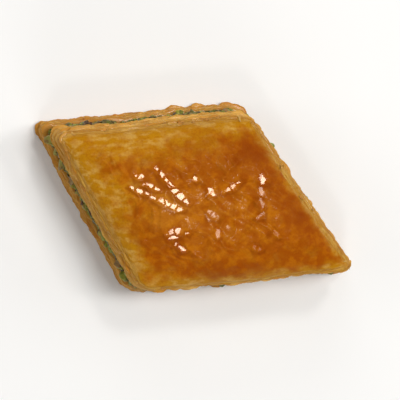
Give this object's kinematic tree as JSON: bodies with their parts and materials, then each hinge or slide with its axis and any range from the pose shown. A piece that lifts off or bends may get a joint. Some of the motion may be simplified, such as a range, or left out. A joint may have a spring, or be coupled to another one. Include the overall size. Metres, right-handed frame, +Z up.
{
  "type": "baklava piece",
  "caption": "Diamond-cut piece of baklava: thin soaked pastry sheets under and over a layer of chopped pistachio, with a puffed, browned and glazed top.",
  "frame": {"origin": "centre of the piece's box in plan, at the flat face it rests on", "axes": "+X along the two long parallel knife cuts, +Y across them to the back cut, +Z up through the browned top"},
  "size_m": [0.0706, 0.0432, 0.0302],
  "materials": {
    "glazed_pastry": "browned pastry sheets under a thin glossy syrup glaze",
    "pistachio": "moist chopped pistachio, green to olive brown",
    "soaked_pastry": "pale golden pastry sheets soaked with syrup"
  },
  "bodies": {
    "root": {"top_pastry": "glazed_pastry", "nut_filling": "pistachio", "bottom_pastry": "soaked_pastry"}
  },
  "joints": []
}
